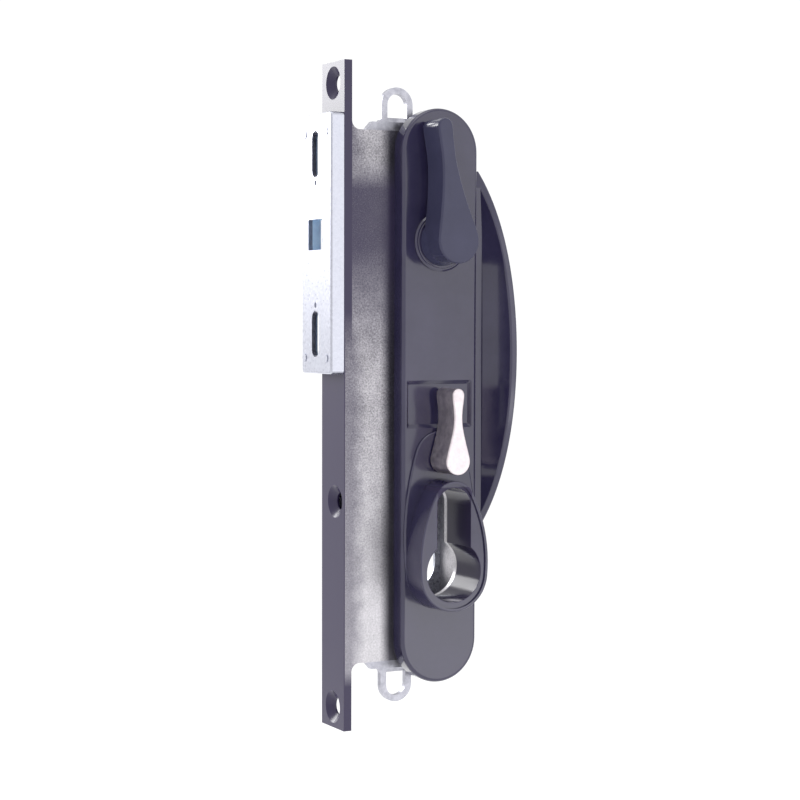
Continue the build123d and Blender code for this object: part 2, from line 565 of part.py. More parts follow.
def loop_outline(up, right, inner):
    """The loop and its shoulder, from |z| = inner out: up is +1 at the top and -1 at the bottom."""
    centre = LOOP_TOP_Z - LOOP_W / 2
    with Locations((LINK_X, up * centre)):
        Circle(LOOP_W / 2)
    with Locations((LINK_X, up * (centre + SHOULDER_TOP) / 2)):
        Rectangle(LOOP_W, centre - SHOULDER_TOP + 0.02)
    with BuildLine() as shoulder:
        Polyline(
            (LINK_X - 10.6, up * inner), (LINK_X - 10.6, up * 81.6), (LINK_X - 8.6, up * SHOULDER_TOP),
            (right - 2.0, up * SHOULDER_TOP), (right, up * 81.6), (right, up * inner), close=True,
        )
    make_face(shoulder.edges())


def loop_opening(up):
    centre = LOOP_TOP_Z - LOOP_W / 2
    with Locations((LINK_X, up * centre)):
        Circle(OPENING_R)
    with Locations((LINK_X, up * (centre + LOOP_EYE_Z) / 2)):
        Rectangle(2 * OPENING_R, centre - LOOP_EYE_Z)


def loop_bevel(up):
    """The coined slope along the flat side of the loop's opening, on both faces."""
    for side, y in ((1, LINK_NEAR), (-1, LINK_FAR)):
        with BuildSketch(Plane.YZ.offset(LINK_X - OPENING_R)) as wedge:
            with BuildLine() as slope:
                Polyline(
                    (y, up * (LOOP_EYE_Z + 0.1)), (y, up * (LOOP_EYE_Z - 1.3)),
                    (y + side * 0.75, up * (LOOP_EYE_Z + 0.1)), close=True,
                )
            make_face(slope.edges())
        extrude(wedge.sketch, amount=2 * OPENING_R, mode=Mode.SUBTRACT)


def loop_corners(part, up):
    """The two hollow corners where the loop rises from its shoulder."""
    return part.edges().filter_by(Axis.Y).filter_by(
        lambda e: abs(e.center().Z - up * SHOULDER_TOP) < 0.05
        and abs(abs(e.center().X - LINK_X) - LOOP_W / 2) < 0.05
    )


with BuildPart() as top_link:
    with BuildSketch(at_y(LINK_FAR)):
        loop_outline(1, LEG_X[1], 72.0)
        with BuildLine():
            Polyline(
                (LEG_X[0], 73), (LEG_X[1], 73), (LEG_X[1], PEG[1] - 3.6), (PEG[0] - 3.0, PEG[1] - 3.6),
                (PEG[0] - 3.0, PEG[1] + 3.6), (LEG_X[0], PEG[1] + 3.6), close=True,
            )
        make_face()
        loop_opening(1)
    extrude(amount=LINK_T)
    with BuildSketch(at_y(LINK_FAR)):
        loop_opening(1)
        with Locations((LEG_X[0], LEVER_Z - FORK_DROP)):
            Rectangle(2 * (BACKSET + CRANK_R + CRANK_PIN_R + 0.3 - LEG_X[0]), 2 * FORK_H)
        with Locations(PEG):
            SlotOverall(2 * PEG_R + 2.4, 2 * PEG_R + 0.8)
    extrude(amount=LINK_T, mode=Mode.SUBTRACT)
    fillet(loop_corners(top_link, 1), 1.6)
    loop_bevel(1)
save(top_link.part, "top_link", BRIGHT)

# ---- bottom link: fork, long bar with deadlock notches and cam notch, shoulder and loop ---------
BAR_X = (12.3, 20.2)
SNIB_PIN_R, SNIB_CRANK = 1.3, 8.0
SLIDE_Z = SNIB_Z + SNIB_CRANK
NOSE_H, NOTCH_H, NOTCH_DEEP = 4.0, 6.4, 3.4
with BuildPart() as bottom_link:
    with BuildSketch(at_y(LINK_FAR)):
        loop_outline(-1, 30.2, 77.3)
        fork_z = LEVER_Z + FORK_DROP
        with BuildLine():
            Polyline(
                (BAR_X[0], -78), (BAR_X[1], -78), (BAR_X[1], fork_z - 3.4), (FORK_END, fork_z - 3.4),
                (FORK_END, fork_z + 3.4), (BAR_X[0], fork_z + 3.4), close=True,
            )
        make_face()
    extrude(amount=LINK_T)
    with BuildSketch(at_y(LINK_FAR)):
        loop_opening(-1)
        with Locations((FORK_END, fork_z)):
            Rectangle(2 * (FORK_END - BACKSET + CRANK_R + CRANK_PIN_R + 0.3), 2 * FORK_H)
        for shift in (0, LINK_RATE * LEVER_THROW[1]):
            with Locations((BAR_X[1], SLIDE_Z + shift)):
                Rectangle(2 * NOTCH_DEEP, NOTCH_H)
        with Locations((BAR_X[1], CYLINDER_Z)):
            Rectangle(2 * 3.0, 9.0)
    extrude(amount=LINK_T, mode=Mode.SUBTRACT)
    fillet(loop_corners(bottom_link, -1), 1.6)
    loop_bevel(-1)
save(bottom_link.part, "bottom_link", BRIGHT)

# ---- hook bolt ----------------------------------------------------------------------------------
HOOK_TIP = math.degrees(math.acos((0.6 - HOOK_PIVOT[0]) / HOOK_R))
HOOK_HEEL = 62.0
HOOK_WEB = 15.0                                # width of the web under the arc, in degrees
HOOK_BOSS_R, PEG_BOSS_R, HOOK_BORE_R, PIVOT_R = 4.8, 2.7, 2.05, 1.98
SPACER_R, SPACER_BORE_R = 3.0, 2.02
with BuildPart() as hook_bolt:
    with BuildSketch(at_y(HOOK_FAR)):
        with BuildLine():
            inner_r, outer_r = HOOK_R - HOOK_BAND / 2, HOOK_R + HOOK_BAND / 2
            sweep_angle = HOOK_TIP - HOOK_HEEL
            inside = CenterArc(HOOK_PIVOT, inner_r, HOOK_HEEL, sweep_angle - 3)
            outside = CenterArc(HOOK_PIVOT, outer_r, HOOK_HEEL, sweep_angle - 3)
            ThreePointArc(inside @ 1, turned(HOOK_R, HOOK_TIP, HOOK_PIVOT), outside @ 1)
            Line(inside @ 0, outside @ 0)
        make_face()
        with BuildLine():
            Polyline(
                turned(inner_r + 0.5, HOOK_HEEL, HOOK_PIVOT),
                turned(inner_r + 0.5, HOOK_HEEL + HOOK_WEB, HOOK_PIVOT),
                turned(4.0, HOOK_HEEL + 90, HOOK_PIVOT),
                turned(4.0, HOOK_HEEL - 60, HOOK_PIVOT), close=True,
            )
        make_face()
        with BuildLine():
            Polyline(
                turned(4.4, 80 + HOOK_START, HOOK_PIVOT), turned(4.4, -80 + HOOK_START, HOOK_PIVOT),
                turned(2.6, -100 + HOOK_START, PEG), turned(2.6, 100 + HOOK_START, PEG), close=True,
            )
        make_face()
        with Locations(HOOK_PIVOT):
            Circle(HOOK_BOSS_R)
        with Locations(PEG):
            Circle(PEG_BOSS_R)
    extrude(amount=HOOK_FAR - HOOK_NEAR)
    with BuildSketch(at_y(HOOK_NEAR)):
        with Locations(PEG):
            Circle(PEG_R)
    extrude(amount=HOOK_NEAR - LINK_NEAR + 0.3)
    with BuildSketch(at_y(HOOK_FAR + 1)):
        with Locations(HOOK_PIVOT):
            Circle(HOOK_BORE_R)
    extrude(amount=12, mode=Mode.SUBTRACT)
save(hook_bolt.part, "hook_bolt", BRIGHT)

with BuildPart() as hook_pivot_pin:
    with BuildSketch(at_y(CASE_FAR - 0.05)):
        with Locations(HOOK_PIVOT):
            Circle(PIVOT_R)
    extrude(amount=CASE_FAR - 0.05 - INNER_NEAR + 1.1)
    chamfer(hook_pivot_pin.faces().sort_by(Axis.Y)[-1].edges(), 0.3)
save(hook_pivot_pin.part, "hook_pivot_pin", STEEL)

with BuildPart() as hook_spacer:
    with BuildSketch(at_y(HOOK_NEAR - 0.15)):
        with Locations(HOOK_PIVOT):
            Circle(SPACER_R)
            Circle(SPACER_BORE_R, mode=Mode.SUBTRACT)
    extrude(amount=HOOK_NEAR - 0.15 - INNER_NEAR - 0.02)
save(hook_spacer.part, "hook_spacer", STEEL)

# ---- snib: lever, spindle with its crank, clip, and the deadlock slide it moves -----------------
SNIB_WIDTHS = ((2.35, 7.0), (1.38, 12.5), (1.6, 16.5))
SNIB_SQUARE, SNIB_DRUM_R, SNIB_REACH = 4.0, 3.9, 4.8
SNIB_FRAME = Plane(origin=(BACKSET, PLATE_FACE, SNIB_Z), x_dir=(1, 0, 0), z_dir=(0, -1, 0))
with BuildPart() as snib_lever:
    with BuildSketch(SNIB_FRAME.offset(SNIB_LIFT)):
        teardrop(SNIB_LENGTH, SNIB_R, SNIB_TIP_R, SNIB_WIDTHS)
    extrude(amount=SNIB_PROUD - SNIB_LIFT)
    front = snib_lever.faces().sort_by(Axis.Y)[0]
    back = snib_lever.faces().sort_by(Axis.Y)[-1]
    fillet(front.edges(), 0.35)
    fillet(back.edges(), 0.3)
    with BuildSketch(SNIB_FRAME.offset(-PLATE_T + 0.4)):
        Circle(SNIB_BORE_R - FIT)
    extrude(amount=PLATE_T + SNIB_LIFT)
    with BuildSketch(SNIB_FRAME.offset(-PLATE_T)):
        Rectangle(SNIB_SQUARE, SNIB_SQUARE)
    extrude(amount=PLATE_T + 5, mode=Mode.SUBTRACT)
    with BuildSketch(SNIB_FRAME.offset(-PLATE_T + 0.8)):
        Circle(5)
        Circle(SNIB_BORE_R - 0.5, mode=Mode.SUBTRACT)
    extrude(amount=0.7, mode=Mode.SUBTRACT)
save(snib_lever.part, "snib_lever", SATIN)

with BuildPart() as snib_clip:
    with BuildSketch(SNIB_FRAME.offset(-PLATE_T + 0.85)):
        Circle(4.6)
        Circle(SNIB_BORE_R - 0.45, mode=Mode.SUBTRACT)
        with Locations((0, 4.5)):
            Rectangle(2, 3, mode=Mode.SUBTRACT)
    extrude(amount=0.6)
save(snib_clip.part, "snib_clip", STEEL)

with BuildPart() as snib_spindle:
    with BuildSketch(SNIB_FRAME.offset(SNIB_REACH)):
        Rectangle(SNIB_SQUARE - 0.1, SNIB_SQUARE - 0.1)
    extrude(amount=-(SNIB_REACH + CASE_FAR - PLATE_FACE - 0.4))
    chamfer(snib_spindle.faces().sort_by(Axis.Y)[-1].edges(), 0.3)
save(snib_spindle.part, "snib_spindle", STEEL)

with BuildPart() as snib_crank:
    with BuildSketch(at_y(CASE_FAR - 0.1)):
        with Locations((BACKSET, SNIB_Z)):
            Circle(SNIB_JOURNAL_R)
    extrude(amount=CASE_W - 0.2)
    with BuildSketch(at_y(INNER_FAR - 0.3)):
        with Locations((BACKSET, SNIB_Z)):
            Circle(SNIB_DRUM_R)
    extrude(amount=INNER_FAR - INNER_NEAR - 0.6)
    with BuildSketch(at_y(DISC_FAR)):
        with Locations((BACKSET, SNIB_Z + SNIB_CRANK / 2)):
            SlotOverall(SNIB_CRANK + 6.0, 5.2, rotation=90)
    extrude(amount=DISC_FAR - DISC_NEAR)
    with BuildSketch(at_y(DISC_NEAR)):
        with Locations((BACKSET, SLIDE_Z)):
            Circle(SNIB_PIN_R)
    extrude(amount=DISC_NEAR - LINK_NEAR + 0.3)
    with BuildSketch(at_y(CASE_FAR + 1)):
        with Locations((BACKSET, SNIB_Z)):
            Rectangle(SNIB_SQUARE, SNIB_SQUARE)
    extrude(amount=CASE_W + 2, mode=Mode.SUBTRACT)
save(snib_crank.part, "snib_crank", ZINC)

SLIDE_X = (20.9, 35.6)
with BuildPart() as deadlock_slide:
    with BuildSketch(at_y(LINK_FAR)):
        with BuildLine():
            Polyline(
                (SLIDE_X[0], SLIDE_Z - NOSE_H / 2), (25.4, SLIDE_Z - NOSE_H / 2), (25.4, SLIDE_Z - 3.2),
                (SLIDE_X[1], SLIDE_Z - 3.2), (SLIDE_X[1], SLIDE_Z + 4.2), (25.4, SLIDE_Z + 4.2),
                (25.4, SLIDE_Z + NOSE_H / 2), (SLIDE_X[0], SLIDE_Z + NOSE_H / 2), close=True,
            )
        make_face()
        with Locations((BACKSET, SLIDE_Z - 0.35)):
            SlotOverall(2 * SNIB_PIN_R + 1.5, 2 * SNIB_PIN_R + 0.5, rotation=90, mode=Mode.SUBTRACT)
    extrude(amount=LINK_T)
save(deadlock_slide.part, "deadlock_slide", BRIGHT)

with BuildPart() as slide_guide:
    with BuildSketch(at_y(LINK_FAR + 0.1)):
        with Locations((BACKSET, SLIDE_Z + 6.1)):
            RectangleRounded(16.0, 3.0, 0.8)
    extrude(amount=LINK_FAR + 0.1 - INNER_NEAR - 0.02)
save(slide_guide.part, "slide_guide", ZINC)

# ---- detent springs: bent strips that ride on the hub's drum and on the snib's drum --------------
STRIP_T, SPRING_W, SPRING_FAR = 0.5, 4.0, 5.2


def strip_spring(points, width, far_y):
    """A bent steel strip of even thickness, standing on edge across the case."""
    with BuildSketch(at_y(far_y)) as strip:
        with BuildLine() as bends:
            FilletPolyline(*points, radius=1.2)
        trace(bends.edges(), line_width=STRIP_T)
    extrude(strip.sketch, amount=width)


with BuildPart() as lever_detent_spring:
    bends = [(22.5, 56.2), (27.0, 55.0), (30.0, 54.4), (33.0, 55.0), (36.6, 56.6), (39.6, 60.5)]
    strip_spring(bends, SPRING_W, SPRING_FAR)
save(lever_detent_spring.part, "lever_detent_spring", STEEL)

with BuildPart() as snib_detent_spring:
    bends = [(36.4, -26.0), (34.7, -22.0), (34.4, -19.1), (34.7, -16.0), (38.6, -12.0)]
    strip_spring(bends, SPRING_W, SPRING_FAR)
save(snib_detent_spring.part, "snib_detent_spring", STEEL)

# ---- strike: folded box, keeper plate inside it and four rivets ---------------------------------
STRIKE_MID_Y = (STRIKE_Y[0] + STRIKE_Y[1]) / 2
STRIKE_MID_Z = (STRIKE_Z[0] + STRIKE_Z[1]) / 2
STRIKE_W, STRIKE_H = STRIKE_Y[1] - STRIKE_Y[0], STRIKE_Z[1] - STRIKE_Z[0]
STRIKE_BACK = 0.05                             # gap between the strike and the faceplate
RIVET_R, RIVET_HEAD_R, DIMPLE_R, DIMPLE_DEEP = 1.0, 1.25, 0.8, 0.4
RIVETS = [(-HOOK_Y + side * 7.6, z) for side in (-1, 1) for z in (12.0, 80.2)]
DIMPLES = [(-HOOK_Y, 65.2), (-HOOK_Y, 28.1)]


def strike_openings():
    """The hook's window and the two upright screw slots."""
    with Locations((-HOOK_Y, WINDOW_Z)):
        RectangleRounded(WINDOW_W, WINDOW_H, 0.5)
    with Locations(*[(-HOOK_Y, z) for z in STRIKE_SLOT_Z]):
        SlotOverall(STRIKE_SLOT_L, STRIKE_SLOT_W, rotation=90)


with BuildPart() as strike_box:
    with BuildSketch(FRONT.offset(STRIKE_BACK)):
        with Locations((-STRIKE_MID_Y, STRIKE_MID_Z)):
            RectangleRounded(STRIKE_W, STRIKE_H, 1.2)
    extrude(amount=STRIKE_D - STRIKE_BACK)
    fillet(strike_box.faces().sort_by(Axis.X)[0].edges(), 0.6)
    with BuildSketch(FRONT):
        with Locations((-STRIKE_MID_Y, STRIKE_MID_Z)):
            Rectangle(STRIKE_W - 2 * STRIKE_SHEET, STRIKE_H + 4)
    extrude(amount=STRIKE_D - STRIKE_SHEET, mode=Mode.SUBTRACT)
    with BuildSketch(FRONT):
        strike_openings()
        with Locations(*RIVETS):
            Circle(RIVET_R)
    extrude(amount=STRIKE_D + 1, mode=Mode.SUBTRACT)
    with BuildSketch(FRONT.offset(STRIKE_D)):
        with Locations(*DIMPLES):
            Circle(DIMPLE_R)
    extrude(amount=-DIMPLE_DEEP, mode=Mode.SUBTRACT)
save(strike_box.part, "strike_box", BRIGHT)

KEEPER_T = 1.5
SLEEVE_T, SLEEVE_BACK = 0.9, 0.15
with BuildPart() as strike_keeper:
    with BuildSketch(FRONT.offset(STRIKE_D - STRIKE_SHEET - KEEPER_T - 0.01)):
        with Locations((-STRIKE_MID_Y, STRIKE_MID_Z)):
            RectangleRounded(STRIKE_W - 2 * STRIKE_SHEET - 0.6, STRIKE_H - 4, 2.0)
        with Locations((-HOOK_Y, WINDOW_Z)):
            RectangleRounded(WINDOW_W + 0.6, WINDOW_H + 0.6, 0.5, mode=Mode.SUBTRACT)
        with Locations(*[(-HOOK_Y, z) for z in STRIKE_SLOT_Z]):
            SlotOverall(STRIKE_SLOT_L + 4, STRIKE_SLOT_W + 4, rotation=90, mode=Mode.SUBTRACT)
        with Locations(*RIVETS):
            Circle(RIVET_R, mode=Mode.SUBTRACT)
    extrude(amount=KEEPER_T)
    # the sleeve that the hook passes through, from the sheet to just off the faceplate
    with BuildSketch(FRONT.offset(SLEEVE_BACK)):
        with Locations((-HOOK_Y, WINDOW_Z)):
            RectangleRounded(WINDOW_W + 2 * SLEEVE_T, WINDOW_H + 2 * SLEEVE_T, 1.0)
            Rectangle(WINDOW_W, WINDOW_H, mode=Mode.SUBTRACT)
    extrude(amount=STRIKE_D - STRIKE_SHEET - 0.01 - SLEEVE_BACK)
save(strike_keeper.part, "strike_keeper", STEEL)

with BuildPart() as strike_rivets:
    for y, z in RIVETS:
        with BuildSketch(FRONT.offset(STRIKE_D)):
            with Locations((y, z)):
                Circle(RIVET_HEAD_R)
        extrude(amount=0.25)
        with BuildSketch(FRONT.offset(STRIKE_D)):
            with Locations((y, z)):
                Circle(0.98)
        extrude(amount=-(STRIKE_SHEET + KEEPER_T + 0.2))
save(strike_rivets.part, "strike_rivets", BRIGHT)
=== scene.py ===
"""A mortice lock for a sliding security door, in its studio: materials, lights, floor and camera.

Everything is in metres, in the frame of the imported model: +X into the door stile, +Z up, the room on -Y.
"""

import json
import math

import bpy
from mathutils import Matrix, Vector


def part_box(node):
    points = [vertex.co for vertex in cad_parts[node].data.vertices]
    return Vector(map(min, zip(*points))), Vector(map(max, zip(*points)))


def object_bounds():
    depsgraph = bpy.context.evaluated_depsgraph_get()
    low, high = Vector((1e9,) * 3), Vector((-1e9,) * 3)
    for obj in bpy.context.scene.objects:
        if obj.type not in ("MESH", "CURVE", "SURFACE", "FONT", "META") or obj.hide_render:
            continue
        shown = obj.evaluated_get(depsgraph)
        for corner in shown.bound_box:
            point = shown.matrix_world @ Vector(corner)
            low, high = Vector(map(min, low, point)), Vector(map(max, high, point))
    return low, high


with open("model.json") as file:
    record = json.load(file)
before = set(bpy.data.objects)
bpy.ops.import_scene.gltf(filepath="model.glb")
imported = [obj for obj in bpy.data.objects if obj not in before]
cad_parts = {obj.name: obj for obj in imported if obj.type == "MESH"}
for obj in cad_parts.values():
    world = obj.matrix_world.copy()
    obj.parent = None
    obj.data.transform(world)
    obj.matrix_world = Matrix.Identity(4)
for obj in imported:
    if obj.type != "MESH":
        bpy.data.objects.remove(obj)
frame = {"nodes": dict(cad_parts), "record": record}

MM = 0.001
CAD_LOW, CAD_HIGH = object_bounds()

# ---- places: two read from the frame, the rest given --------------------------------------------
CASE_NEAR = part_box("lock_case")[0][1]             # the case's side towards the room, in Y
PLATE_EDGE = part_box("handle_plate")[0][0]         # the handle plate's edge nearest the faceplate, in X
FACEPLATE_T = 2.6 * MM
# the cylinder opening: the axis and radius of its round end, and the web above it
OPENING_X, OPENING_Z, OPENING_R = 30.0 * MM, -52.8 * MM, 9.3 * MM
WEB_HALF, WEB_TOP = 5.8 * MM, -27.1 * MM

# ---- camera: where it stands and how it is turned -------------------------------------------------
CAMERA_AT = Vector((-0.26516, -0.55051, 0.02442))
CAMERA_AZIMUTH, CAMERA_DOWN, CAMERA_ROLL = (math.radians(a) for a in (-27.470, 2.905, 0.134))
CAMERA_LENS, CAMERA_SENSOR = 90.08, 36.0
CAMERA_SHIFT = (0.0074, 0.0236)


def tree_of(material):
    material.use_nodes = True
    material.node_tree.nodes.clear()
    return material.node_tree


def add(tree, kind, settings=None, **inputs):
    """A shader node: settings are its own properties, and inputs are values or sockets to link."""
    made = tree.nodes.new(kind)
    for name, value in (settings or {}).items():
        setattr(made, name, value)
    for name, value in inputs.items():
        socket = made.inputs[name.replace("_", " ")]
        if isinstance(value, bpy.types.NodeSocket):
            tree.links.new(value, socket)
        else:
            socket.default_value = value
    return made


def place(tree):
    """Coordinates fixed to the piece: its own, which are the frame's at rest."""
    return add(tree, "ShaderNodeTexCoord").outputs["Object"]


def noise(tree, where, size, detail=3.0, roughness=0.55):
    """Noise whose blotches are about size metres across."""
    made = add(
        tree, "ShaderNodeTexNoise", Vector=where, Scale=1.0 / size, Detail=detail, Roughness=roughness
    )
    return made.outputs["Fac"]


def spread(tree, value, low, high, start=0.3, end=0.7):
    """value from start..end, mapped on to low..high and held there."""
    made = add(tree, "ShaderNodeMapRange", {"clamp": True}, Value=value)
    made.inputs["From Min"].default_value = start
    made.inputs["From Max"].default_value = end
    made.inputs["To Min"].default_value = low
    made.inputs["To Max"].default_value = high
    return made.outputs["Result"]


def combine(tree, operation, *values):
    """A maths node over values, each a number or a socket."""
    made = tree.nodes.new("ShaderNodeMath")
    made.operation = operation
    for socket, value in zip(made.inputs, values):
        if isinstance(value, bpy.types.NodeSocket):
            tree.links.new(value, socket)
        else:
            socket.default_value = value
    return made.outputs[0]


def product(tree, first, *more):
    for value in more:
        first = combine(tree, "MULTIPLY", first, value)
    return first


def greatest(tree, first, *more):
    for value in more:
        first = combine(tree, "MAXIMUM", first, value)
    return first


def axes_of(tree, where):
    """The X, Y and Z of a place, as three sockets."""
    axes = add(tree, "ShaderNodeSeparateXYZ", None, Vector=where)
    return [axes.outputs[name] for name in "XYZ"]


def blend(tree, factor, dark, light):
    """A colour between dark and light."""
    made = tree.nodes.new("ShaderNodeMix")
    made.data_type = "RGBA"
    tree.links.new(factor, made.inputs["Factor"])
    for socket, value in ((made.inputs[6], dark), (made.inputs[7], light)):
        if isinstance(value, bpy.types.NodeSocket):
            tree.links.new(value, socket)
        else:
            socket.default_value = (*value, 1.0)
    return made.outputs[2]


def bump(tree, height, depth, strength=1.0):
    """A normal from height, where height 1 stands depth metres proud."""
    return add(tree, "ShaderNodeBump", Height=height, Distance=depth, Strength=strength).outputs["Normal"]


def surface(tree, colour, roughness, normal, metallic=0.0, **fixed):
    """The principled surface and the output. fixed are sockets with one value all over."""
    shader = add(
        tree, "ShaderNodeBsdfPrincipled", None, Base_Color=colour, Roughness=roughness, Normal=normal
    )
    if isinstance(metallic, bpy.types.NodeSocket):
        tree.links.new(metallic, shader.inputs["Metallic"])
    else:
        shader.inputs["Metallic"].default_value = metallic
    for name, value in fixed.items():
        shader.inputs[name.replace("_", " ")].default_value = value
    add(tree, "ShaderNodeOutputMaterial", None, Surface=shader.outputs["BSDF"])
    return shader


# ---- materials ------------------------------------------------------------------------------------
COAT_DARK, COAT_LIGHT = (0.018, 0.015, 0.046), (0.030, 0.026, 0.064)
# painted shade: the lever's own copy of the black coat, in another colour and with less sheen, so its face
# looks darker than the plate's
LEVER_SHADE_DARK, LEVER_SHADE_LIGHT = (0.030, 0.030, 0.064), (0.040, 0.040, 0.082)
# painted shade: the colour of the cylinder opening's walls, which also get less sheen
HOLE_SHADE_COLOUR = (0.034, 0.028, 0.062)
RAW_DARK, RAW_LIGHT, RAW_PALE = (0.15, 0.145, 0.161), (0.47, 0.455, 0.486), (0.74, 0.725, 0.755)
# painted shade: the handle plate's contact shadow and dark mirrored side, on the case beside it
PLATE_SHADE_COLOUR = (0.018, 0.016, 0.030)
FOG_COLOUR = (0.021, 0.014, 0.052)
PLATED_DARK, PLATED_LIGHT = (0.36, 0.375, 0.435), (0.50, 0.52, 0.585)
STRIKE_DARK, STRIKE_LIGHT = (0.445, 0.455, 0.52), (0.525, 0.535, 0.605)
LINK_DARK, LINK_LIGHT = (0.32, 0.32, 0.365), (0.50, 0.50, 0.555)
NICKEL_DARK, NICKEL_LIGHT = (0.56, 0.51, 0.535), (0.72, 0.66, 0.685)
SPRING_DARK, SPRING_LIGHT = (0.30, 0.42, 0.54), (0.42, 0.55, 0.68)
BLUED_DARK, BLUED_LIGHT = (0.50, 0.68, 0.90), (0.62, 0.82, 1.0)


def opening_walls(tree, where):
    """1 on the walls of the cylinder opening, and 0 on the rest of the plate."""
    x, _, z = axes_of(tree, where)
    across = combine(tree, "ABSOLUTE", combine(tree, "SUBTRACT", x, OPENING_X))
    above = combine(tree, "SUBTRACT", z, OPENING_Z)
    squares = combine(tree, "ADD", product(tree, across, across), product(tree, above, above))
    radius = combine(tree, "SQRT", squares)
    near, far = 0.05 * MM, 0.20 * MM              # the mask fades out this far outside the walls
    in_round = spread(tree, radius, 1.0, 0.0, OPENING_R + near, OPENING_R + far)
    in_width = spread(tree, across, 1.0, 0.0, WEB_HALF + near, WEB_HALF + far)
    in_height = spread(tree, z, 1.0, 0.0, WEB_TOP + near, WEB_TOP + far)
    over_axis = spread(tree, above, 0.0, 1.0, -near, 0.0)
    return greatest(tree, in_round, product(tree, in_width, in_height, over_axis))


COAT_CLOUD, COAT_PEEL, PEEL_DEPTH = 14 * MM, 0.9 * MM, 0.004 * MM
COAT_ROUGH, TOP_COAT_ROUGH = (0.12, 0.18), 0.08
PLATE_GLOSS, HOLE_SHADE_GLOSS = 0.5, 0.14


def black_coat(name, dark, light, ior=1.55, coat=0.25, has_opening=False):
    """Smooth black coat: satin gloss, faint orange peel and a slightly uneven sheen.

    Where has_opening is set, the walls of the cylinder opening get a colour of their own, less sheen and
    no top coat: painted shade for the darker walls of the hole.
    """
    material = bpy.data.materials.new(name)
    tree = tree_of(material)
    where = place(tree)
    cloud = noise(tree, where, COAT_CLOUD, 4.0)
    peel = noise(tree, where, COAT_PEEL, 2.0)
    colour = blend(tree, spread(tree, cloud, 0.0, 1.0), dark, light)
    roughness = spread(tree, cloud, *COAT_ROUGH)
    normal = bump(tree, peel, PEEL_DEPTH, 0.5)
    inside = opening_walls(tree, where) if has_opening else None
    if has_opening:
        colour = blend(tree, inside, colour, HOLE_SHADE_COLOUR)
    shader = surface(
        tree, colour, roughness, normal, IOR=ior, Coat_Weight=coat, Coat_Roughness=TOP_COAT_ROUGH
    )
    # painted shade: less sheen and no top coat on the opening's walls, to darken the hole
    if has_opening:
        gloss = spread(tree, inside, PLATE_GLOSS, HOLE_SHADE_GLOSS, 0.0, 1.0)
        hole_shade_coat = spread(tree, inside, coat, 0.0, 0.0, 1.0)
        tree.links.new(gloss, shader.inputs["Specular IOR Level"])
        tree.links.new(hole_shade_coat, shader.inputs["Coat Weight"])
    return material


# the overspray: heights of the fogged band's fades, and how far the strip beside the faceplate reaches
BAND_RISE, BAND_FALL = (8 * MM, 46 * MM), (63 * MM, 72 * MM)
BAND_THINS = (4 * MM, 15 * MM)
STRIP_END, STRIP_STRENGTH, RAGGED = 7.5 * MM, 0.55, 1.2 * MM
FRONT_EDGE = (0.30 * MM, 0.45 * MM)
HOLE_WALLS = (7.3 * MM, 7.5 * MM)
EDGE_UPPER, EDGE_LOWER, EDGE_MIDDLE_STRENGTH = (10 * MM, 26 * MM), (-88 * MM, -82 * MM), 0.42


def overspray(tree, where, x, y, z):
    """How much black coat lies on the case: all of the faceplate's front, and a speckled fog behind it."""
    # a band level with the lever is fogged over the whole width of the case
    rise = spread(tree, z, 0.0, 0.97, *BAND_RISE)
    fall = spread(tree, z, 1.0, 0.0, *BAND_FALL)
    thinner = spread(tree, x, 1.0, 0.88, *BAND_THINS)
    band = product(tree, rise, fall, thinner)
    # above and below it, only a ragged strip beside the faceplate
    ragged = spread(tree, noise(tree, where, 5.0 * MM, 3.0, 0.6), -RAGGED, RAGGED)
    beyond = combine(tree, "ADD", x, ragged)
    strip = spread(tree, beyond, STRIP_STRENGTH, 0.0, FACEPLATE_T, STRIP_END)
    speckle = spread(tree, noise(tree, where, 0.25 * MM, 2.0, 0.6), 0.80, 1.15, 0.35, 0.65)
    fog = product(tree, greatest(tree, band, strip), speckle)
    # the faceplate: its front and screw holes fully, and its side edge more towards the ends
    front = spread(tree, x, 1.0, 0.0, *FRONT_EDGE)
    faceplate = spread(tree, x, 1.0, 0.0, FACEPLATE_T, FACEPLATE_T + 0.1 * MM)
    inward = spread(tree, combine(tree, "ABSOLUTE", y), 1.0, 0.0, *HOLE_WALLS)
    holes = product(tree, faceplate, inward)
    upper_end = spread(tree, z, 0.0, 1.0, *EDGE_UPPER)
    lower_end = spread(tree, z, 1.0, 0.0, *EDGE_LOWER)
    ends = greatest(tree, upper_end, lower_end)
    side = product(tree, faceplate, spread(tree, ends, EDGE_MIDDLE_STRENGTH, 1.0, 0.0, 1.0))
    return combine(tree, "MINIMUM", greatest(tree, fog, front, holes, side), 1.0)


CASE_GRAIN, CASE_MOTTLE, GRAIN_SHARE = 0.55 * MM, 7.0 * MM, 0.75
CASE_RELIEF = 0.035 * MM
PALE_HEIGHTS = (-80 * MM, 0.0)                    # the casting is palest at its foot
PLATE_SHADE_REACH, PLATE_SHADE_FULL = 4.8 * MM, 1.4 * MM        # how far from the handle plate's edge the painted shade reaches
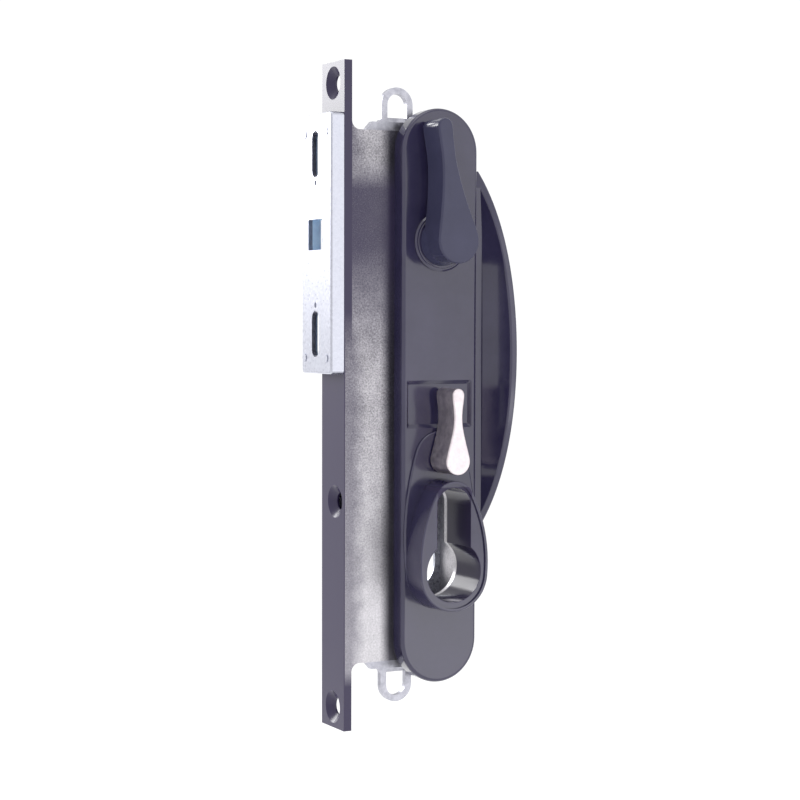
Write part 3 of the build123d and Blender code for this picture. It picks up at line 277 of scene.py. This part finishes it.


def cast_case():
    """Raw die-cast zinc, fine grained and mottled, with black overspray round the coated faceplate, and
    painted shade on the near side beside the handle plate.
    """
    material = bpy.data.materials.new("cast_case")
    tree = tree_of(material)
    where = place(tree)
    x, y, z = axes_of(tree, where)
    grain = noise(tree, where, CASE_GRAIN, 4.0, 0.75)
    mottle = noise(tree, where, CASE_MOTTLE, 5.0, 0.65)
    mixed = combine(tree, "MULTIPLY_ADD", grain, GRAIN_SHARE, product(tree, mottle, 1.0 - GRAIN_SHARE))
    zinc = blend(tree, spread(tree, mixed, 0.0, 1.0, 0.38, 0.62), RAW_DARK, RAW_LIGHT)
    paler = blend(tree, spread(tree, z, 0.42, 0.0, *PALE_HEIGHTS), zinc, RAW_PALE)
    # painted shade on the near side, next to the handle plate: the plate's contact shadow and its dark
    # side mirrored in the zinc
    beside = spread(tree, x, 0.0, 0.88, PLATE_EDGE - PLATE_SHADE_REACH, PLATE_EDGE - PLATE_SHADE_FULL)
    near = spread(tree, y, 1.0, 0.0, CASE_NEAR + 0.2 * MM, CASE_NEAR + 0.6 * MM)
    shaded_zinc = blend(tree, product(tree, beside, near), paler, PLATE_SHADE_COLOUR)
    coat = overspray(tree, where, x, y, z)
    colour = blend(tree, coat, shaded_zinc, FOG_COLOUR)
    roughness = spread(tree, coat, 0.38, 0.30, 0.0, 1.0)
    metallic = spread(tree, coat, 0.85, 0.0, 0.0, 1.0)
    relief = product(tree, grain, spread(tree, coat, 1.0, 0.12, 0.0, 1.0))
    surface(tree, colour, roughness, bump(tree, relief, CASE_RELIEF, 0.8), metallic, IOR=1.46)
    return material


def plated(name, dark, light, rough, blotch, depth=0.012 * MM):
    """Plated or polished metal: colour and sheen drift in blotches, over a fine grain depth deep."""
    material = bpy.data.materials.new(name)
    tree = tree_of(material)
    where = place(tree)
    drift = noise(tree, where, blotch, 5.0, 0.65)
    grain = noise(tree, where, 0.35 * MM, 3.0, 0.7)
    colour = blend(tree, spread(tree, drift, 0.0, 1.0, 0.35, 0.65), dark, light)
    roughness = spread(tree, drift, rough - 0.06, rough + 0.08)
    surface(tree, colour, roughness, bump(tree, grain, depth, 0.7), 1.0)
    return material


def blued_steel():
    """The keeper behind the strike's window: dull blue-grey passivated sheet."""
    material = bpy.data.materials.new("blued_steel")
    tree = tree_of(material)
    where = place(tree)
    cloud = noise(tree, where, 2.5 * MM, 4.0)
    grain = noise(tree, where, 0.3 * MM, 3.0, 0.7)
    colour = blend(tree, spread(tree, cloud, 0.0, 1.0), BLUED_DARK, BLUED_LIGHT)
    roughness = spread(tree, cloud, 0.40, 0.52)
    surface(tree, colour, roughness, bump(tree, grain, 0.01 * MM, 0.6), 0.25)
    return material


SLOT_MATERIALS = {
    "black_coat": black_coat("black_coat", COAT_DARK, COAT_LIGHT),
    "raw_zinc": plated("hub_zinc", RAW_DARK, RAW_LIGHT, 0.45, 3 * MM, 0.03 * MM),
    "zinc_plate": plated("zinc_plate", PLATED_DARK, PLATED_LIGHT, 0.28, 1.6 * MM),
    "satin_nickel": plated("satin_nickel", NICKEL_DARK, NICKEL_LIGHT, 0.37, 2.0 * MM, 0.045 * MM),
    "spring_steel": plated("spring_steel", SPRING_DARK, SPRING_LIGHT, 0.45, 2.5 * MM),
}
STRIKE_ZINC = plated("strike_zinc", STRIKE_DARK, STRIKE_LIGHT, 0.32, 0.9 * MM, 0.006 * MM)
LINK_ZINC = plated("link_zinc", LINK_DARK, LINK_LIGHT, 0.40, 2.2 * MM, 0.02 * MM)
OWN_MATERIALS = {
    "lock_case": cast_case(),
    # painted shade: a copy of the coat with less sheen, darkening the lever's face
    "turn_lever": black_coat("lever_shade_coat", LEVER_SHADE_DARK, LEVER_SHADE_LIGHT, 1.39, 0.05),
    "handle_plate": black_coat("plate_coat", COAT_DARK, COAT_LIGHT, has_opening=True),
    "strike_box": STRIKE_ZINC,
    "strike_rivets": STRIKE_ZINC,
    "strike_keeper": blued_steel(),
    "top_link": LINK_ZINC,
    "bottom_link": LINK_ZINC,
}
# every piece takes its slot's material, unless it has one of its own
for entry in frame["record"]["subparts"]:
    node = entry["node"]
    coating = OWN_MATERIALS.get(node, SLOT_MATERIALS[entry["material_slot"]])
    frame["nodes"][node].data.materials.clear()
    frame["nodes"][node].data.materials.append(coating)


# ---- studio -----------------------------------------------------------------------------------------
CENTRE = (Vector(CAD_LOW) + Vector(CAD_HIGH)) / 2
FLOOR_DROP = 200 * MM                             # the lock hangs clear of the floor, as it does in use
FLOOR_SIZE = 14.0
PAPER_COLOUR, PAPER_ROUGH, PAPER_GRAIN, PAPER_RELIEF = (0.97, 0.97, 0.97, 1.0), 0.9, 20 * MM, 0.1 * MM
SKY_STRENGTH = 1.07


def softbox(name, direction, distance, width, height, radiance):
    """A soft rectangular light that faces the lock. radiance is what a mirror would show of it."""
    lamp = bpy.data.lights.new(name, "AREA")
    lamp.shape = "RECTANGLE"
    lamp.size, lamp.size_y = width, height
    lamp.energy = radiance * math.pi * width * height
    box = bpy.data.objects.new(name, lamp)
    away = Vector(direction).normalized()
    box.location = CENTRE + away * distance
    box.rotation_euler = away.to_track_quat("Z", "Y").to_euler()
    bpy.context.scene.collection.objects.link(box)


softbox("front_right", (0.47, -0.88, -0.02), 0.95, 0.60, 1.15, 0.72)
softbox("front_low", (0.47, -0.88, -0.40), 1.00, 0.60, 0.42, 0.95)
softbox("side_left", (-0.461, 0.886, 0.36), 0.90, 0.50, 0.38, 8.0)
softbox("overhead", (-0.10, -0.25, 1.0), 0.90, 0.60, 0.60, 1.4)

half, level = FLOOR_SIZE / 2, CAD_LOW[2] - FLOOR_DROP
corners = [(-half, -half, level), (half, -half, level), (half, half, level), (-half, half, level)]
floor_mesh = bpy.data.meshes.new("floor")
floor_mesh.from_pydata(corners, [], [(0, 1, 2, 3)])
floor = bpy.data.objects.new("floor", floor_mesh)
bpy.context.scene.collection.objects.link(floor)
paper = bpy.data.materials.new("floor_paper")
paper_tree = tree_of(paper)
paper_bump = bump(paper_tree, noise(paper_tree, place(paper_tree), PAPER_GRAIN), PAPER_RELIEF)
surface(paper_tree, PAPER_COLOUR, PAPER_ROUGH, paper_bump)
floor_mesh.materials.append(paper)

world = bpy.data.worlds.new("studio")
bpy.context.scene.world = world
world.use_nodes = True
world.node_tree.nodes["Background"].inputs["Color"].default_value = (1.0, 1.0, 1.0, 1.0)
world.node_tree.nodes["Background"].inputs["Strength"].default_value = SKY_STRENGTH
bpy.context.scene.view_settings.view_transform = "Standard"


# ---- camera -----------------------------------------------------------------------------------------
def camera_axes():
    """Right, up and backward for the azimuth, downward tilt and roll. Azimuth 0 looks along +Y."""
    ahead = Vector((
        -math.sin(CAMERA_AZIMUTH) * math.cos(CAMERA_DOWN),
        math.cos(CAMERA_AZIMUTH) * math.cos(CAMERA_DOWN),
        -math.sin(CAMERA_DOWN),
    ))
    right = ahead.cross(Vector((0, 0, 1))).normalized()
    up = right.cross(ahead)
    cos, sin = math.cos(CAMERA_ROLL), math.sin(CAMERA_ROLL)
    return right * cos + up * sin, up * cos - right * sin, -ahead


camera_data = bpy.data.cameras.new("camera")
camera_data.lens, camera_data.sensor_width = CAMERA_LENS, CAMERA_SENSOR
camera_data.shift_x, camera_data.shift_y = CAMERA_SHIFT
camera = bpy.data.objects.new("camera", camera_data)
camera.matrix_world = Matrix.Translation(CAMERA_AT) @ Matrix(camera_axes()).transposed().to_4x4()
bpy.context.scene.collection.objects.link(camera)
bpy.context.scene.camera = camera
